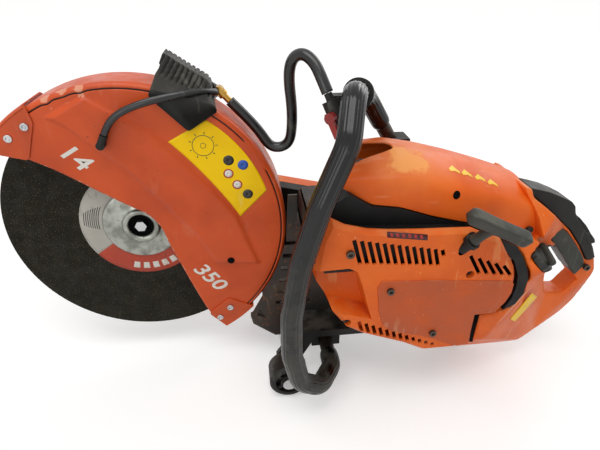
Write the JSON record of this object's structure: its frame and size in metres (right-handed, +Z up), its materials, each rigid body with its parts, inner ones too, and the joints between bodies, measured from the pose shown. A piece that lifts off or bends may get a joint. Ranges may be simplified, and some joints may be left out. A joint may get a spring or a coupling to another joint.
{
  "type": "petrol cut-off saw",
  "caption": "Hand-held petrol cut-off saw: abrasive disc under a turning guard, belt arm, engine with recoil starter, tank with rear handle, bow handle, wheels and water line.",
  "frame": {"origin": "bottom centre of the saw's box, on the surface that the wheels and rear feet stand on", "axes": "+X from the disc towards the rear handle, +Y towards the belt side, +Z up"},
  "size_m": [0.795, 0.2612, 0.4563],
  "materials": {
    "orange_shell": "moulded nylon shell, satin, scuffed",
    "orange_paint": "powder coat, satin, chipped at edges",
    "black_plastic": "moulded glass filled nylon",
    "black_rubber": "ribbed rubber, worn glossy",
    "abrasive": "resin bonded abrasive with glass mesh",
    "zinc": "turned, zinc plated",
    "steel": "machined steel",
    "dark_steel": "black oxide or heat proof paint, rust spots",
    "cast_alloy": "die cast",
    "brass": "machined",
    "red_plastic": "moulded",
    "rope": "braided cord",
    "filter_paper": "pleated paper"
  },
  "bodies": {
    "root": {"saw_arm": "cast_alloy", "arm_cover": "orange_shell", "spindle_bearings": "steel", "drive_belt": "black_rubber", "clutch_shoes": "cast_alloy", "belt_tensioner": "steel", "crankcase": "cast_alloy", "cylinder": "cast_alloy", "piston_and_rod": "cast_alloy", "crankshaft": "steel", "flywheel": "cast_alloy", "muffler": "dark_steel", "spark_plug": "steel", "plug_cap": "black_rubber", "carburettor": "cast_alloy", "air_filter": "filter_paper", "top_cover": "orange_shell", "engine_shroud": "black_plastic", "starter_cover": "orange_shell", "starter_panel": "orange_shell", "casing_screws": "dark_steel", "rope_bush": "black_plastic", "tank_housing": "orange_shell", "handle_grip": "black_rubber", "handle_pad": "black_plastic", "base_plate": "black_plastic", "wheel_axle": "steel", "rear_feet": "black_rubber", "muffler_guard": "dark_steel", "handle_tube": "dark_steel", "handle_sleeve": "black_rubber", "handle_clamps": "cast_alloy", "water_valve": "black_plastic", "water_hose": "black_rubber"},
    "cutting_set": {"cutting_disc": "abrasive", "outer_flange": "zinc", "inner_flange": "zinc", "flange_bolt": "steel", "spindle_shaft": "steel", "driven_pulley": "cast_alloy"},
    "drive_drum": {"clutch_drum": "steel"},
    "guard": {"guard_shell": "orange_paint", "guard_end_plates": "orange_paint", "guard_rivets": "steel", "guard_grip": "black_plastic", "spray_nozzles": "black_plastic", "spray_hoses": "black_rubber", "hose_fitting": "brass"},
    "wheel_left": {"wheel_left": "black_plastic"},
    "wheel_right": {"wheel_right": "black_plastic"},
    "starter_pull": {"starter_grip": "black_plastic", "starter_rope": "rope"},
    "recoil_drum": {"rope_drum": "black_plastic"},
    "trigger": {"throttle_trigger": "black_plastic"},
    "lock_lever": {"throttle_lock": "black_plastic"},
    "cap": {"fuel_cap": "black_plastic"},
    "stop": {"stop_switch": "black_plastic"},
    "choke": {"choke_lever": "black_plastic"},
    "tap": {"water_tap": "red_plastic"},
    "decomp": {"decompression_button": "black_plastic"}
  },
  "joints": [
    {"name": "disc_spin", "type": "hinge", "parent": "root", "child": "cutting_set", "pos_m": [-0.2225, 0.04856, 0.225], "axis": [0, 1, 0], "continuous": true},
    {"name": "drum_spin", "type": "hinge", "parent": "root", "child": "drive_drum", "pos_m": [0.1125, 0.04856, 0.165], "axis": [0, 1, 0], "continuous": true},
    {"name": "guard_turn", "type": "hinge", "parent": "root", "child": "guard", "pos_m": [-0.2225, 0.04856, 0.225], "axis": [0, -1, 0], "range_deg": [0, 45]},
    {"name": "wheel_left_spin", "type": "hinge", "parent": "root", "child": "wheel_left", "pos_m": [-0.0355, -0.05944, 0.027], "axis": [0, 1, 0], "continuous": true},
    {"name": "wheel_right_spin", "type": "hinge", "parent": "root", "child": "wheel_right", "pos_m": [-0.0355, 0.08557, 0.027], "axis": [0, 1, 0], "continuous": true},
    {"name": "starter_pull", "type": "slide", "parent": "root", "child": "starter_pull", "axis": [0.3995, -0.4494, 0.799], "range_m": [0, 0.05], "stiffness_N_per_m": 60, "springref_m": -0.01},
    {"name": "recoil_turn", "type": "hinge", "parent": "root", "child": "recoil_drum", "pos_m": [0.1125, -0.08243, 0.165], "axis": [0, 1, 0], "range_deg": [-100, 5]},
    {"name": "throttle_pull", "type": "hinge", "parent": "root", "child": "trigger", "pos_m": [0.3085, -0.03343, 0.2245], "axis": [0, -1, 0], "range_deg": [0, 10], "stiffness_Nm_per_rad": 0.25, "springref_deg": -11.46},
    {"name": "lock_press", "type": "hinge", "parent": "root", "child": "lock_lever", "pos_m": [0.345, -0.03343, 0.2416], "axis": [0, 1, 0], "range_deg": [0, 4], "stiffness_Nm_per_rad": 0.6, "springref_deg": -11.46},
    {"name": "fuel_cap_turn", "type": "hinge", "parent": "root", "child": "cap", "pos_m": [0.2795, -0.08044, 0.208], "axis": [0.6199, -0.2499, 0.7438], "range_deg": [0, 90]},
    {"name": "stop_press", "type": "slide", "parent": "root", "child": "stop", "axis": [-0.1501, 0.9207, -0.3603], "range_m": [0, 0.003], "stiffness_N_per_m": 400, "springref_m": -0.002},
    {"name": "choke_turn", "type": "hinge", "parent": "root", "child": "choke", "pos_m": [0.2475, 0.03556, 0.145], "axis": [0, 1, 0], "range_deg": [0, 70]},
    {"name": "tap_turn", "type": "hinge", "parent": "root", "child": "tap", "pos_m": [0.0168, -0.05155, 0.3925], "axis": [0.6222, 0.7828, 0], "range_deg": [0, 90]},
    {"name": "decompression_press", "type": "slide", "parent": "root", "child": "decomp", "axis": [0.3011, 0, -0.9536], "range_m": [0, 0.004], "stiffness_N_per_m": 500, "springref_m": -0.002}
  ],
  "couplings": [
    {"joint": "drum_spin", "follows": "disc_spin", "ratio": 1.9016},
    {"joint": "recoil_turn", "follows": "starter_pull", "rad_per_m": -32.258}
  ]
}
